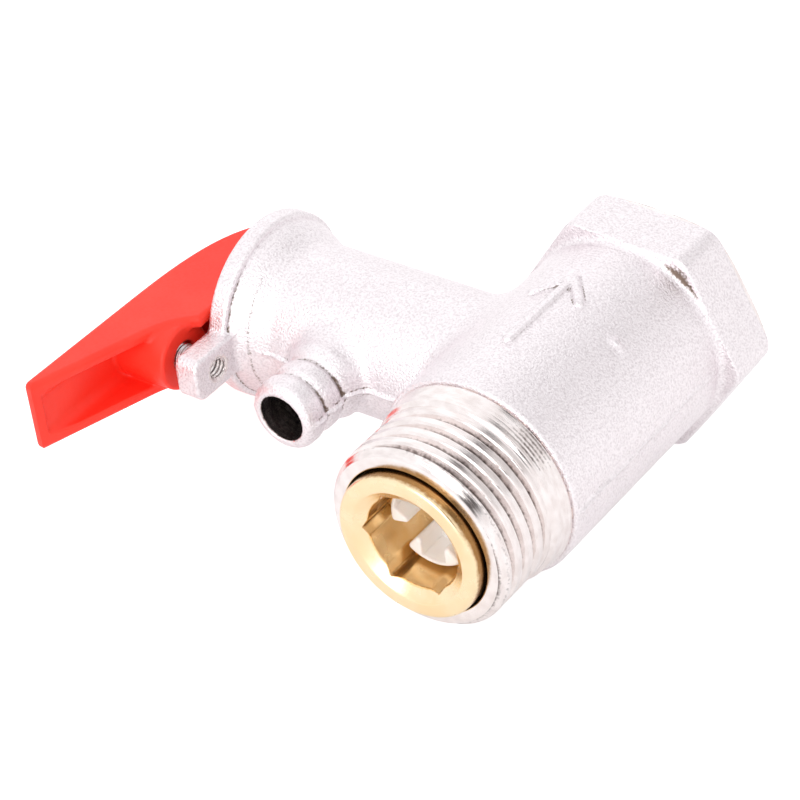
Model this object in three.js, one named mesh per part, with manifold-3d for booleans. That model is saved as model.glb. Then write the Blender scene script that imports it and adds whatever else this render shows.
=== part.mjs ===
// Pressure relief valve of an electric water heater, size G 1/2, with a hand lever.
//
// Millimetres, +Z up. The origin is the centre of the female port's end face. The run lies along Y:
// the female port opens towards +Y and the male thread ends at the -Y end. The relief branch points
// along -X. It holds the relief disc, its spring, the adjuster plug and, on its flange, the lever.
// Along the branch a place is given as its distance from the run's axis, so a larger one is further
// out.

import * as THREE from 'three';
import { mergeVertices } from 'three/addons/utils/BufferGeometryUtils.js';
import Module from 'manifold-3d';

const wasm = await Module();
wasm.setup();

// ---------------------------------------------------------------- driving dimensions

const GAP = 0.3; // free play between neighbouring pieces
const SIDES = 36; // sides of a large turned piece
const SMALL_SIDES = 20; // sides of a small one
const PAST = 1; // how far a cutting tool runs past the face that it cuts

// G 1/2 pipe thread
const THREAD_OUTER = 20.955 / 2;
const THREAD_PITCH = 1.814;
const THREAD_DEPTH = 1.162;
const THREAD_INNER = THREAD_OUTER - THREAD_DEPTH;
const THREAD_FLAT = 0.32; // width of a crest and of a root

// run
const MALE_END = -45.4;
const FIRST_CREST = -44.2;
const MALE_CRESTS = 5;
const SHOULDER = -36.6; // the turned band behind the male thread starts here
const BARREL_START = -34.3; // the cast barrel starts here
const BAND_RADIUS = 11.2;
const BARREL_RADIUS = 11.61;
const HEX_FLATS = 24.48;
const HEX_LENGTH = 6.76;
const HEX_TURN = 3; // degrees by which the cast hexagon stands off the branch's plane
const FEMALE_DEPTH = 11.5;
const FEMALE_CRESTS = 5;
const OUTLET_RADIUS = 6.5; // waterway between the check valve and the female thread
const CHAMBER_RADIUS = 7.2; // waterway around the check poppet
const GUIDE_STEP = -24.5; // step that the check guide rests on
const MALE_BORE_RADIUS = 8.5;
const MALE_BORE_END = -36.9;

// relief branch
const BRANCH_Y = -19.33;
const BRANCH_RADIUS = 8.28;
const PORT_RADIUS = 3.2;
const SEAT_RADIUS = 4.1;
const SEAT_X = 14.2;
const RELIEF_FLOOR_X = 13.6;
const RELIEF_RADIUS = 6.2;
const PLUG_BORE_X = 32.4;
const PLUG_BORE_RADIUS = 7.2;
const FLANGE_RADIUS = 10.55;
const FLANGE_X = 38.4; // flange face, which the lever's foot rests on
const FLANGE_BACK_X = 35.9;

// hose barb
const BARB_X = -23.77;
const BARB_BORE = 2.5;
const BARB_TIP_Y = -36.03;
const BARB_RING = 4.05;
const BARB_NECK = 3.85;

// lug for the lock screw
const LUG_FRONT_X = -35.25;
const LUG_BACK_X = -38.25;
const LUG_END_Y = -35.7;
const LUG_HALF_HEIGHT = 2.5;
const SCREW_Y = -32.1;
const LUG_HOLE = 1.35;

// lever
const LEVER_HALF_WIDTH = 4.25;
const LEVER_WALL = 1.3;
const LEVER_WEB = 1.3;
const LEVER_FOOT_X = -FLANGE_X - GAP;
const HEEL_RADIUS = 1.5;
const HINGE_X = LEVER_FOOT_X - HEEL_RADIUS;
const HINGE_Y = -10.9;
const TAIL_Y = -48.45;
const SPINE_X = -48;
const PIN_X = 41.6;
const PIN_RADIUS = 0.8;
const PIN_TRAVEL = 1.1; // how far the pin slides along the lever's slot
const BOSS_RADIUS = 3.85;
const BOSS_FACE_X = 41.2;
const SCREW_RADIUS = 1.5;
const SCREW_HEAD_RADIUS = 2.6;

// ---------------------------------------------------------------- materials

function finish(color, roughness, metalness) {
  return new THREE.MeshStandardMaterial({ color, roughness, metalness });
}

const NICKEL = finish(0xe3dedb, 0.42, 1);
const BRASS = finish(0xd9b25e, 0.32, 1);
const STEEL = finish(0xb4b6b8, 0.28, 1);
const RED_PLASTIC = finish(0xf02a1c, 0.4, 0);
const WHITE_PLASTIC = finish(0xf0ece8, 0.5, 0);
const RUBBER = finish(0x1d1d1f, 0.75, 0);

// ---------------------------------------------------------------- solids

// A closed geometry as a solid. Its shared vertices are merged, and its faces are turned outwards.
function solidOf(geometry) {
  geometry.deleteAttribute('normal');
  geometry.deleteAttribute('uv');
  const merged = mergeVertices(geometry, 1e-4);
  const place = merged.attributes.position;
  const corner = [new THREE.Vector3(), new THREE.Vector3(), new THREE.Vector3()];
  const triangles = [];
  let volume = 0;
  for (let first = 0; first < merged.index.count; first += 3) {
    const triangle = [0, 1, 2].map((step) => merged.index.getX(first + step));
    if (new Set(triangle).size < 3) continue;
    triangle.forEach((vertex, step) => corner[step].fromBufferAttribute(place, vertex));
    volume += corner[0].dot(corner[1].clone().cross(corner[2]));
    triangles.push(triangle);
  }
  if (volume < 0) triangles.forEach((triangle) => triangle.reverse());
  const mesh = new wasm.Mesh({
    numProp: 3,
    vertProperties: new Float32Array(place.array),
    triVerts: new Uint32Array(triangles.flat()),
  });
  return new wasm.Manifold(mesh);
}

function joined(...solids) {
  return solids.reduce((whole, next) => whole.add(next));
}

function cut(solid, ...tools) {
  return tools.reduce((rest, tool) => rest.subtract(tool), solid);
}

function piece(name, solid, material) {
  const { vertProperties, triVerts } = solid.getMesh();
  const geometry = new THREE.BufferGeometry();
  geometry.setAttribute('position', new THREE.BufferAttribute(vertProperties, 3));
  geometry.setIndex(new THREE.BufferAttribute(triVerts, 1));
  geometry.computeVertexNormals();
  const mesh = new THREE.Mesh(geometry, material);
  mesh.name = name;
  return mesh;
}

// A turned solid about the Y axis, from pairs of radius and height.
function turned(profile, sides = SIDES) {
  return new THREE.LatheGeometry(profile.map((pair) => new THREE.Vector2(...pair)), sides);
}

function rod(radius, from, to, sides = SIDES) {
  return turned([[0, from], [radius, from], [radius, to], [0, to]], sides);
}

function ring(inner, outer, from, to, sides = SIDES) {
  return turned([[inner, from], [outer, from], [outer, to], [inner, to], [inner, from]], sides);
}

function oRing(radius, thickness, at) {
  return new THREE.TorusGeometry(radius, thickness / 2, 6, 28).rotateX(Math.PI / 2).translate(0, at, 0);
}

// Six sides about the Y axis, with two flats level.
function hexagon(flats, from, to) {
  return rod(flats / 2 / Math.cos(Math.PI / 6), from, to, 6).rotateY(Math.PI / 6);
}

function box(low, high) {
  const size = high.map((value, axis) => value - low[axis]);
  const middle = high.map((value, axis) => (value + low[axis]) / 2);
  return solidOf(new THREE.BoxGeometry(...size).translate(...middle));
}

// An outline in X and Y, given a thickness along Z that is centred on the parting plane.
function slab(outline, halfWidth, curveSegments = 12) {
  const depth = 2 * halfWidth;
  return new THREE.ExtrudeGeometry(outline, { depth, bevelEnabled: false, curveSegments })
    .translate(0, 0, -halfWidth);
}

// Moves a piece made about the Y axis to the branch: its height becomes the distance from the run.
function toBranch(geometry, y = BRANCH_Y) {
  return geometry.rotateZ(Math.PI / 2).translate(0, y, 0);
}

// ---------------------------------------------------------------- threads and springs

// The pairs of a thread whose turns are plain rings: crests at outer, roots at inner between them.
function threadProfile(crest, root, firstCrest, crests) {
  const half = THREAD_FLAT / 2;
  const pairs = [];
  for (let turn = 0; turn < crests; turn += 1) {
    const at = firstCrest + turn * THREAD_PITCH;
    pairs.push([crest, at - half], [crest, at + half]);
    if (turn < crests - 1) {
      const middle = at + THREAD_PITCH / 2;
      pairs.push([root, middle - half], [root, middle + half]);
    }
  }
  return pairs;
}

// The centre line of a compression spring about the Y axis, wound closer at its ends.
class SpringLine extends THREE.Curve {
  constructor(radius, from, to, turns) {
    super();
    this.size = { radius, from, to, turns };
  }

  getPoint(t) {
    const { radius, from, to, turns } = this.size;
    const angle = 2 * Math.PI * turns * t;
    const share = t - (0.35 * Math.sin(2 * Math.PI * t)) / (2 * Math.PI);
    const height = from + (to - from) * share;
    return new THREE.Vector3(radius * Math.cos(angle), height, radius * Math.sin(angle));
  }
}

function spring(radius, wire, from, to, turns) {
  const section = new THREE.Shape().absarc(0, 0, wire / 2, 0, 2 * Math.PI);
  const line = new SpringLine(radius, from + wire / 2, to - wire / 2, turns);
  const steps = Math.round(turns * 12);
  return new THREE.ExtrudeGeometry(section, { extrudePath: line, steps, curveSegments: 3 });
}

// ---------------------------------------------------------------- valve body

function runOutside() {
  const hexStart = -HEX_LENGTH;
  const lastCrest = FIRST_CREST + (MALE_CRESTS - 1) * THREAD_PITCH;
  const barrel = turned([
    [0, MALE_END],
    [THREAD_OUTER - 0.85, MALE_END],
    [THREAD_OUTER, MALE_END + 0.95],
    ...threadProfile(THREAD_OUTER, THREAD_INNER, FIRST_CREST, MALE_CRESTS),
    [THREAD_INNER + 0.3, lastCrest + 0.5],
    [THREAD_INNER + 0.3, SHOULDER],
    [BAND_RADIUS, SHOULDER],
    [BAND_RADIUS, BARREL_START - 0.3],
    [BARREL_RADIUS, BARREL_START],
    [BARREL_RADIUS, hexStart + PAST],
    [0, hexStart + PAST],
  ]);
  const corner = HEX_FLATS / 2 / Math.cos(Math.PI / 6);
  const chamfered = turned([
    [0, hexStart],
    [corner - 0.4, hexStart],
    [corner, hexStart + 0.2],
    [corner, -0.5],
    [HEX_FLATS / 2 + 0.1, 0],
    [0, 0],
  ]);
  const turn = THREE.MathUtils.degToRad(HEX_TURN);
  const nut = solidOf(hexagon(HEX_FLATS, hexStart, 0).rotateY(-turn)).intersect(solidOf(chamfered));
  return joined(solidOf(barrel), nut);
}

function branchOutside() {
  const flangeNeck = [
    [BRANCH_RADIUS, 32.2],
    [8.8, 33.2],
    [9.6, 34.5],
    [FLANGE_RADIUS - 0.3, FLANGE_BACK_X],
  ];
  return solidOf(toBranch(turned([
    [0, 1],
    [BRANCH_RADIUS, 1],
    ...flangeNeck,
    [FLANGE_RADIUS, FLANGE_BACK_X + 0.1],
    [FLANGE_RADIUS, FLANGE_X - 0.25],
    [FLANGE_RADIUS - 0.25, FLANGE_X],
    [0, FLANGE_X],
  ])));
}

function barbOutside() {
  const profile = [
    [0, BARB_TIP_Y],
    [BARB_RING - 0.9, BARB_TIP_Y],
    [BARB_RING - 0.35, BARB_TIP_Y + 0.55],
    [BARB_RING, BARB_TIP_Y + 1.5],
    [BARB_RING, BARB_TIP_Y + 2.4],
    [BARB_NECK, BARB_TIP_Y + 3.2],
    [BARB_RING, BARB_TIP_Y + 4],
    [BARB_RING, BARB_TIP_Y + 4.9],
    [BARB_NECK, BARB_TIP_Y + 5.6],
    [BARB_RING + 0.15, BARB_TIP_Y + 6.5],
    [BARB_RING + 0.5, BARB_TIP_Y + 8.6],
    [BARB_RING + 0.5, BRANCH_Y],
    [0, BRANCH_Y],
  ];
  return solidOf(turned(profile, 36).translate(BARB_X, 0, 0));
}

function lugOutside() {
  const outline = new THREE.Shape();
  const corner = 1.1;
  const end = -LUG_END_Y;
  outline.moveTo(-BRANCH_Y, -LUG_HALF_HEIGHT);
  outline.lineTo(end - corner, -LUG_HALF_HEIGHT);
  outline.quadraticCurveTo(end, -LUG_HALF_HEIGHT, end, -LUG_HALF_HEIGHT + corner);
  outline.lineTo(end, LUG_HALF_HEIGHT - corner);
  outline.quadraticCurveTo(end, LUG_HALF_HEIGHT, end - corner, LUG_HALF_HEIGHT);
  outline.lineTo(-BRANCH_Y, LUG_HALF_HEIGHT);
  outline.closePath();
  const depth = LUG_FRONT_X - LUG_BACK_X;
  const plate = new THREE.ExtrudeGeometry(outline, { depth, bevelEnabled: false, curveSegments: 5 });
  // the outline's X becomes -Y, its Y becomes Z and the depth becomes X
  plate.applyMatrix4(new THREE.Matrix4().set(0, 0, 1, LUG_BACK_X, -1, 0, 0, 0, 0, 1, 0, 0, 0, 0, 0, 1));
  return solidOf(plate);
}

// A raised arrow on the barrel's upper side that shows which way the water flows.
function flowArrow() {
  const tail = -26.4;
  const neck = -18.6;
  const tip = -13.8;
  const outline = new THREE.Shape();
  outline.moveTo(-0.7, tail);
  outline.lineTo(0.7, tail);
  outline.lineTo(0.7, neck);
  outline.lineTo(2.3, neck);
  outline.lineTo(0, tip);
  outline.lineTo(-2.3, neck);
  outline.lineTo(-0.7, neck);
  outline.closePath();
  const block = new THREE.ExtrudeGeometry(outline, { depth: 4, bevelEnabled: false });
  const skin = ring(BARREL_RADIUS - 1, BARREL_RADIUS + 0.35, tail - PAST, tip + PAST);
  return solidOf(block.translate(-1, 0, BARREL_RADIUS - 2)).intersect(solidOf(skin));
}

function runInside() {
  const firstCrest = -FEMALE_DEPTH + THREAD_PITCH * 0.75;
  const lastCrest = firstCrest + (FEMALE_CRESTS - 1) * THREAD_PITCH;
  return solidOf(turned([
    [0, MALE_END - PAST],
    [MALE_BORE_RADIUS, MALE_END - PAST],
    [MALE_BORE_RADIUS, MALE_BORE_END],
    [CHAMBER_RADIUS, MALE_BORE_END],
    [CHAMBER_RADIUS, GUIDE_STEP],
    [OUTLET_RADIUS, GUIDE_STEP],
    [OUTLET_RADIUS, -FEMALE_DEPTH - 2],
    [THREAD_INNER, -FEMALE_DEPTH],
    ...threadProfile(THREAD_INNER, THREAD_OUTER, firstCrest, FEMALE_CRESTS),
    [THREAD_OUTER + 0.4, lastCrest + 1.2],
    [THREAD_OUTER + 0.4, PAST],
    [0, PAST],
  ]));
}

function branchInside() {
  const chamber = toBranch(turned([
    [0, SEAT_X],
    [SEAT_RADIUS, SEAT_X],
    [SEAT_RADIUS + 0.3, RELIEF_FLOOR_X],
    [RELIEF_RADIUS, RELIEF_FLOOR_X],
    [RELIEF_RADIUS, PLUG_BORE_X],
    [PLUG_BORE_RADIUS, PLUG_BORE_X],
    [PLUG_BORE_RADIUS, FLANGE_X + PAST],
    [0, FLANGE_X + PAST],
  ]));
  const port = toBranch(rod(PORT_RADIUS, 2, SEAT_X + PAST, SMALL_SIDES));
  return joined(solidOf(chamber), solidOf(port));
}

function valveBody() {
  const outside = joined(runOutside(), branchOutside(), barbOutside(), lugOutside(), flowArrow());
  const barbBore = solidOf(rod(BARB_BORE, BARB_TIP_Y - PAST, BRANCH_Y, SMALL_SIDES).translate(BARB_X, 0, 0));
  const lugHole = solidOf(toBranch(rod(LUG_HOLE, 30, FLANGE_X + PAST, SMALL_SIDES), SCREW_Y));
  return cut(outside, runInside(), branchInside(), barbBore, lugHole);
}

// ---------------------------------------------------------------- check valve in the male end

const RETAINER_FACE = -46.4;
const RETAINER_END = -37.5;
const RETAINER_RADIUS = 8.15;
const RETAINER_BORE = 5.3;
const RETAINER_MOUTH = 6.7;
const RETAINER_KEY_FLATS = 10.05; // hexagon key that screws it in
const KEY_DEPTH = 4.8;
const RETAINER_GROOVE = -39.3;
const CHECK_SEAL_OUTER = 6.4;
const CHECK_HEAD_FRONT = -35.8;
const CHECK_HEAD_BACK = -33.9;
const CHECK_GUIDE_BACK = GUIDE_STEP - GAP;
const CHECK_GUIDE_FRONT = CHECK_GUIDE_BACK - 2.2;
const LEG_RADIUS = 4.8;
const LEG_TIP = -42.9;
const LEGS = 3;
const FIRST_LEG = 271; // degrees about the run, from +X towards +Z
const CHECK_STEM = 1.8;

function checkRetainer() {
  const blank = solidOf(turned([
    [RETAINER_MOUTH, RETAINER_FACE],
    [RETAINER_RADIUS - 0.35, RETAINER_FACE],
    [RETAINER_RADIUS, RETAINER_FACE + 0.35],
    [RETAINER_RADIUS, RETAINER_GROOVE - 0.6],
    [RETAINER_RADIUS - 0.9, RETAINER_GROOVE - 0.6],
    [RETAINER_RADIUS - 0.9, RETAINER_GROOVE + 0.6],
    [RETAINER_RADIUS, RETAINER_GROOVE + 0.6],
    [RETAINER_RADIUS, RETAINER_END - 0.5],
    [6, RETAINER_END - 0.5],
    [6, RETAINER_END],
    [RETAINER_BORE, RETAINER_END],
    [RETAINER_BORE, RETAINER_FACE + 0.75],
    [RETAINER_MOUTH, RETAINER_FACE],
  ]));
  const key = solidOf(hexagon(RETAINER_KEY_FLATS, RETAINER_FACE - PAST, RETAINER_FACE + KEY_DEPTH));
  return cut(blank, key);
}

// One leg of the poppet: a sector with a shallow pocket in its end.
function poppetLeg(degrees) {
  const spread = THREE.MathUtils.degToRad(84);
  const pocket = THREE.MathUtils.degToRad(26);
  const inner = 0.9;
  const sector = (width, from, to) => {
    const outline = new THREE.Shape();
    outline.absarc(0, 0, LEG_RADIUS, -width / 2, width / 2);
    outline.absarc(0, 0, inner, width / 2, -width / 2, true);
    const depth = to - from;
    return new THREE.ExtrudeGeometry(outline, { depth, bevelEnabled: false, curveSegments: 6 })
      .rotateX(Math.PI / 2)
      .rotateY(-THREE.MathUtils.degToRad(degrees))
      .translate(0, to, 0);
  };
  const leg = solidOf(sector(spread, LEG_TIP, CHECK_HEAD_FRONT + 0.5));
  return cut(leg, solidOf(sector(pocket, LEG_TIP - PAST, LEG_TIP + 1.6).scale(1.2, 1, 1.2)));
}

function checkPoppet() {
  const head = solidOf(turned([
    [0, CHECK_HEAD_FRONT - 1.5],
    [LEG_RADIUS, CHECK_HEAD_FRONT - 1.5],
    [LEG_RADIUS, CHECK_HEAD_FRONT],
    [6.2, CHECK_HEAD_FRONT],
    [6.2, CHECK_HEAD_BACK - 0.6],
    [4.4, CHECK_HEAD_BACK],
    [2.4, CHECK_HEAD_BACK],
    [CHECK_STEM, CHECK_HEAD_BACK + 0.6],
    [CHECK_STEM, CHECK_GUIDE_BACK - 1],
    [CHECK_STEM - 0.4, CHECK_GUIDE_BACK - 0.6],
    [0, CHECK_GUIDE_BACK - 0.6],
  ], 36));
  const spine = solidOf(rod(1.2, LEG_TIP, CHECK_HEAD_FRONT, SMALL_SIDES));
  const legs = [];
  for (let number = 0; number < LEGS; number += 1) {
    legs.push(poppetLeg(FIRST_LEG + (number * 360) / LEGS));
  }
  return joined(head, spine, ...legs);
}

function checkGuide() {
  const rim = solidOf(ring(5.7, CHAMBER_RADIUS - GAP, CHECK_GUIDE_FRONT, CHECK_GUIDE_BACK));
  const hub = solidOf(rod(3.9, CHECK_GUIDE_FRONT, CHECK_GUIDE_BACK, 36));
  const spokes = [0, 1, 2].map((number) => solidOf(
    new THREE.BoxGeometry(6.3, 2.2, 1.6)
      .translate(3.15, (CHECK_GUIDE_FRONT + CHECK_GUIDE_BACK) / 2, 0)
      .rotateY((number * 2 * Math.PI) / 3),
  ));
  const hole = solidOf(rod(CHECK_STEM + GAP, CHECK_GUIDE_FRONT - PAST, CHECK_GUIDE_BACK + PAST, SMALL_SIDES));
  return cut(joined(rim, hub, ...spokes), hole);
}

// ---------------------------------------------------------------- relief valve in the branch

const SEAL_X = SEAT_X + GAP;
const SEAL_BACK_X = SEAL_X + 2;
const DISC_FLOOR_X = SEAL_BACK_X + GAP;
const DISC_BACK_X = 19.5;
const DISC_RADIUS = 5.85;
const DISC_HUB_RADIUS = 2.9;
const DISC_HUB_X = 21.3;
const STEM_RADIUS = 1.5;
const STEM_TAIL_RADIUS = 2;
const STEM_STEP_X = 31.4;
const STEM_END_X = 43.6;
const PLUG_X = 33;
const PLUG_END_X = 38;
const GLAND_X = 35.1;
const GLAND_RADIUS = 3.7;
const WASHER_X = 32;

function reliefSeal() {
  return ring(1.3, DISC_RADIUS - 0.35 - GAP, SEAL_X, SEAL_BACK_X, 36);
}

function sealScrew() {
  return turned([
    [0, SEAL_X - 1.4],
    [1.5, SEAL_X - 1.4],
    [2.4, SEAL_X - 0.9],
    [2.4, SEAL_X - GAP],
    [1, SEAL_X - GAP],
    [1, DISC_FLOOR_X + 0.9],
    [0, DISC_FLOOR_X + 0.9],
  ], SMALL_SIDES);
}

function reliefDisc() {
  return turned([
    [1.3, DISC_FLOOR_X],
    [DISC_RADIUS - 0.35, DISC_FLOOR_X],
    [DISC_RADIUS - 0.35, SEAL_X + 0.3],
    [DISC_RADIUS, SEAL_X + 0.3],
    [DISC_RADIUS, DISC_BACK_X - 0.3],
    [DISC_RADIUS - 0.3, DISC_BACK_X],
    [DISC_HUB_RADIUS, DISC_BACK_X],
    [DISC_HUB_RADIUS, DISC_HUB_X],
    [STEM_RADIUS + GAP, DISC_HUB_X],
    [STEM_RADIUS + GAP, DISC_FLOOR_X + 1.3],
    [1.3, DISC_FLOOR_X + 1.3],
    [1.3, DISC_FLOOR_X],
  ], 36);
}

function reliefStem() {
  const shaft = toBranch(turned([
    [0, DISC_FLOOR_X + 1.6],
    [STEM_RADIUS, DISC_FLOOR_X + 1.6],
    [STEM_RADIUS, STEM_STEP_X - 0.5],
    [STEM_TAIL_RADIUS, STEM_STEP_X],
    [STEM_TAIL_RADIUS, STEM_END_X - 0.4],
    [STEM_TAIL_RADIUS - 0.4, STEM_END_X],
    [0, STEM_END_X],
  ], SMALL_SIDES));
  const eye = rod(PIN_RADIUS + GAP, -3, 3, 20).rotateX(Math.PI / 2).translate(-PIN_X, BRANCH_Y, 0);
  return cut(solidOf(shaft), solidOf(eye));
}

function adjusterPlug() {
  const blank = solidOf(toBranch(turned([
    [GLAND_RADIUS, PLUG_X],
    [PLUG_BORE_RADIUS - GAP - 0.4, PLUG_X],
    [PLUG_BORE_RADIUS - GAP, PLUG_X + 0.4],
    [PLUG_BORE_RADIUS - GAP, PLUG_END_X - 0.4],
    [PLUG_BORE_RADIUS - GAP - 0.4, PLUG_END_X],
    [STEM_TAIL_RADIUS + GAP, PLUG_END_X],
    [STEM_TAIL_RADIUS + GAP, GLAND_X],
    [GLAND_RADIUS, GLAND_X],
    [GLAND_RADIUS, PLUG_X],
  ])));
  // two blind holes for a pin spanner
  const holes = [-1, 1].map((side) => solidOf(
    toBranch(rod(0.8, PLUG_END_X - 2, PLUG_END_X + PAST, 16).translate(0, 0, side * 4.9)),
  ));
  return cut(blank, ...holes);
}

// ---------------------------------------------------------------- lever

// The lever's side, seen along Z: heel, spine, tail, tapering edge, arch over the lug and foot.
function leverOutline() {
  const outline = new THREE.Shape();
  outline.moveTo(LEVER_FOOT_X, HINGE_Y);
  outline.absarc(HINGE_X, HINGE_Y, HEEL_RADIUS, 0, Math.PI * 0.72);
  outline.bezierCurveTo(-46.9, -12.7, SPINE_X, -19.5, SPINE_X, -30.5);
  outline.lineTo(SPINE_X, TAIL_Y + 0.9);
  outline.quadraticCurveTo(SPINE_X, TAIL_Y, SPINE_X + 0.8, TAIL_Y);
  outline.lineTo(-46.8, TAIL_Y);
  outline.lineTo(-42.5, -35.4);
  outline.quadraticCurveTo(-41.4, -31.9, LEVER_FOOT_X, -30.1);
  outline.closePath();
  return outline;
}

function lever() {
  const whole = solidOf(slab(leverOutline(), LEVER_HALF_WIDTH));
  const inside = LEVER_HALF_WIDTH - LEVER_WALL;
  const hollow = solidOf(slab(leverOutline(), inside).translate(LEVER_WEB, 0, 0));
  const reach = box([SPINE_X, TAIL_Y + 1.1, -inside - PAST], [-30, -13.5, inside + PAST]);
  const channel = hollow.intersect(reach).add(box([-44, -28.5, -inside], [-30, -13.5, inside]));

  const boss = solidOf(toBranch(rod(BOSS_RADIUS, BOSS_FACE_X, -SPINE_X - 0.6, SMALL_SIDES), SCREW_Y));
  const screwHole = solidOf(toBranch(rod(SCREW_RADIUS + GAP, 38, 50, SMALL_SIDES), SCREW_Y));
  const sunkHead = solidOf(toBranch(rod(SCREW_HEAD_RADIUS + GAP, 46, 50, SMALL_SIDES), SCREW_Y));

  const slotRadius = PIN_RADIUS + GAP;
  const slot = new THREE.Shape();
  slot.absarc(-PIN_X, BRANCH_Y, slotRadius, 0, Math.PI);
  slot.absarc(-PIN_X, BRANCH_Y - PIN_TRAVEL, slotRadius, Math.PI, 2 * Math.PI);
  slot.closePath();
  const pinSlot = solidOf(slab(slot, LEVER_HALF_WIDTH + PAST, 8));
  return cut(joined(cut(whole, channel), boss), screwHole, sunkHead, pinSlot);
}

function leverPin() {
  const half = LEVER_HALF_WIDTH - 0.4;
  return rod(PIN_RADIUS, -half, half, 20).rotateX(Math.PI / 2).translate(-PIN_X, BRANCH_Y, 0);
}

function lockScrew() {
  const headFace = 47.9;
  const headSeat = 46.3;
  const blank = solidOf(toBranch(turned([
    [0, 36.7],
    [0.6, 36.7],
    [0.85, 37],
    [0.85, FLANGE_X + 0.3],
    [SCREW_RADIUS, FLANGE_X + 0.9],
    [SCREW_RADIUS, headSeat],
    [SCREW_HEAD_RADIUS, headSeat],
    [SCREW_HEAD_RADIUS, headFace - 0.5],
    [SCREW_HEAD_RADIUS - 0.7, headFace],
    [0, headFace],
  ], SMALL_SIDES), SCREW_Y));
  const bars = [[0.35, 1.6], [1.6, 0.35]].map(([y, z]) => box(
    [-headFace - PAST, SCREW_Y - y, -z],
    [-headFace + 0.9, SCREW_Y + y, z],
  ));
  return cut(blank, ...bars);
}

// ---------------------------------------------------------------- assembly

const group = new THREE.Group();
group.add(
  piece('valve_body', valveBody(), NICKEL),

  piece('check_retainer', checkRetainer(), BRASS),
  piece('retainer_oring', solidOf(oRing(7.83, 0.9, RETAINER_GROOVE)), RUBBER),
  piece('check_seal', solidOf(ring(LEG_RADIUS + 0.2, CHECK_SEAL_OUTER, -37.2, -36.1)), RUBBER),
  piece('check_poppet', checkPoppet(), WHITE_PLASTIC),
  piece('check_spring', solidOf(spring(3.2, 0.7, CHECK_HEAD_BACK + GAP, CHECK_GUIDE_FRONT - GAP, 4.5)), STEEL),
  piece('check_guide', checkGuide(), WHITE_PLASTIC),

  piece('relief_seal', solidOf(toBranch(reliefSeal())), RUBBER),
  piece('seal_screw', solidOf(toBranch(sealScrew())), STEEL),
  piece('relief_disc', solidOf(toBranch(reliefDisc())), BRASS),
  piece('relief_stem', reliefStem(), BRASS),
  piece('relief_spring', solidOf(toBranch(spring(4.5, 1, DISC_BACK_X + GAP, WASHER_X - GAP, 6.5))), STEEL),
  piece('spring_washer', solidOf(toBranch(ring(2.4, 5.8, WASHER_X, WASHER_X + 0.7, 36))), STEEL),
  piece('stem_oring', solidOf(toBranch(oRing(2.85, 0.9, 34.1))), RUBBER),
  piece('adjuster_plug', adjusterPlug(), BRASS),

  piece('lever', lever(), RED_PLASTIC),
  piece('lever_pin', solidOf(leverPin()), STEEL),
  piece('lock_screw', lockScrew(), STEEL),
);

export default group;
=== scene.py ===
"""Looks of the pressure relief valve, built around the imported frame.

Lengths are millimetres in the valve's own frame until a mesh is made, which is in metres. The run lies along
Y, the relief branch along -X and +Z is up. Most shapes are fields: functions of x, y and z that are negative
inside the solid and grow by about one for each millimetre outwards.
"""

import math

import bpy
import numpy as np
from mathutils import Matrix, Vector

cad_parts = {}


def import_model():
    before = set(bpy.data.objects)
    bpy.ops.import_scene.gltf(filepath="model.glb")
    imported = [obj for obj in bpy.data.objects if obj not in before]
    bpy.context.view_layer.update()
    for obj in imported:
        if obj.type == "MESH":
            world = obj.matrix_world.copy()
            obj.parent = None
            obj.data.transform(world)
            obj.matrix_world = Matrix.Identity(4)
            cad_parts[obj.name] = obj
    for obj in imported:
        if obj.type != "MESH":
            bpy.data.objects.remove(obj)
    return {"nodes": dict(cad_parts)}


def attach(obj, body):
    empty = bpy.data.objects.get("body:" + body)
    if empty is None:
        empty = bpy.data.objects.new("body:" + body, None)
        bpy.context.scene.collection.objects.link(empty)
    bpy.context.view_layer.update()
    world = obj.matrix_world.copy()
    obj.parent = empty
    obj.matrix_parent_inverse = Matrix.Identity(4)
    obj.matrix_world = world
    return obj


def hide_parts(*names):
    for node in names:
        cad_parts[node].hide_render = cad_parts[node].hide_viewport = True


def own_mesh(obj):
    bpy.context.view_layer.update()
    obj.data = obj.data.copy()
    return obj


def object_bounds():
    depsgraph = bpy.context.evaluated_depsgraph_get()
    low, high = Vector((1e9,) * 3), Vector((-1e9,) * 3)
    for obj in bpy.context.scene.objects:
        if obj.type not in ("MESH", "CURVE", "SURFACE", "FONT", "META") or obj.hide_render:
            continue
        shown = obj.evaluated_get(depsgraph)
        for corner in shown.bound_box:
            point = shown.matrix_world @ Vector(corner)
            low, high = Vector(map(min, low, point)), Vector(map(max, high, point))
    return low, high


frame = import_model()
cad_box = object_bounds()

MM = 0.001

# ------------------------------------------------------------------ sizes that the CAD has too

# Run. HEX_TURN is in degrees.
PITCH = 1.814
THREAD_OUTER = 10.4775
MALE_END = -45.4
BARREL_START = -34.3
BARREL_RADIUS = 11.61
HEX_FLATS = 24.48
HEX_LENGTH = 6.76
HEX_TURN = 3
FEMALE_DEPTH = 11.5
CHAMBER_RADIUS = 7.2
OUTLET_RADIUS = 6.5
GUIDE_STEP = -24.5
MALE_BORE = 8.5
MALE_BORE_END = -36.9

# Relief branch
BRANCH_Y = -19.33
BRANCH_RADIUS = 8.28
FLANGE_RADIUS = 10.55
FLANGE_X = -38.4
RELIEF_RADIUS = 6.2
PLUG_BORE = 7.2

# Hose barb
BARB_X = -23.77
BARB_TIP_Y = -36.03
BARB_RADIUS = 4.05
BARB_BORE = 2.5

# Lug and lock screw
LUG_X = (-38.25, -35.25)
LUG_HALF_HEIGHT = 2.5
LUG_END_Y = -35.7
SCREW_Y = -32.1
SCREW_RADIUS = 1.5
SCREW_HEAD_RADIUS = 2.6

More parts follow.
